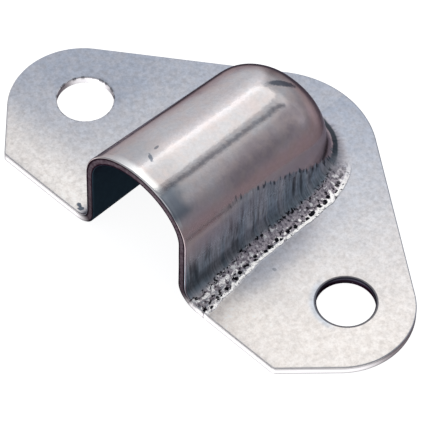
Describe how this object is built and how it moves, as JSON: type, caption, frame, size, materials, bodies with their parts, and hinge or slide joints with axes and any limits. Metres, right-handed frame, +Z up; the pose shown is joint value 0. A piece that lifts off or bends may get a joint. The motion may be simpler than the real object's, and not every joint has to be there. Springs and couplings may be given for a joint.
{
  "type": "fairlead chock",
  "caption": "Pressed stainless steel fairlead: a flat flange with screw holes and a drawn hood, open at its mouth and underneath, that guides a rope through it.",
  "frame": {"origin": "middle of the footprint, on the flange's underside", "axes": "+Z up out of the deck, -Y out of the hood's mouth, +X from one screw hole to the other"},
  "size_m": [0.0476, 0.0281, 0.0133],
  "materials": {
    "stainless_steel": "satin pressed stainless steel sheet, brighter on the drawn crown and galled along the draw radius"
  },
  "bodies": {
    "root": {"fairlead_pressing": "stainless_steel"}
  },
  "joints": []
}
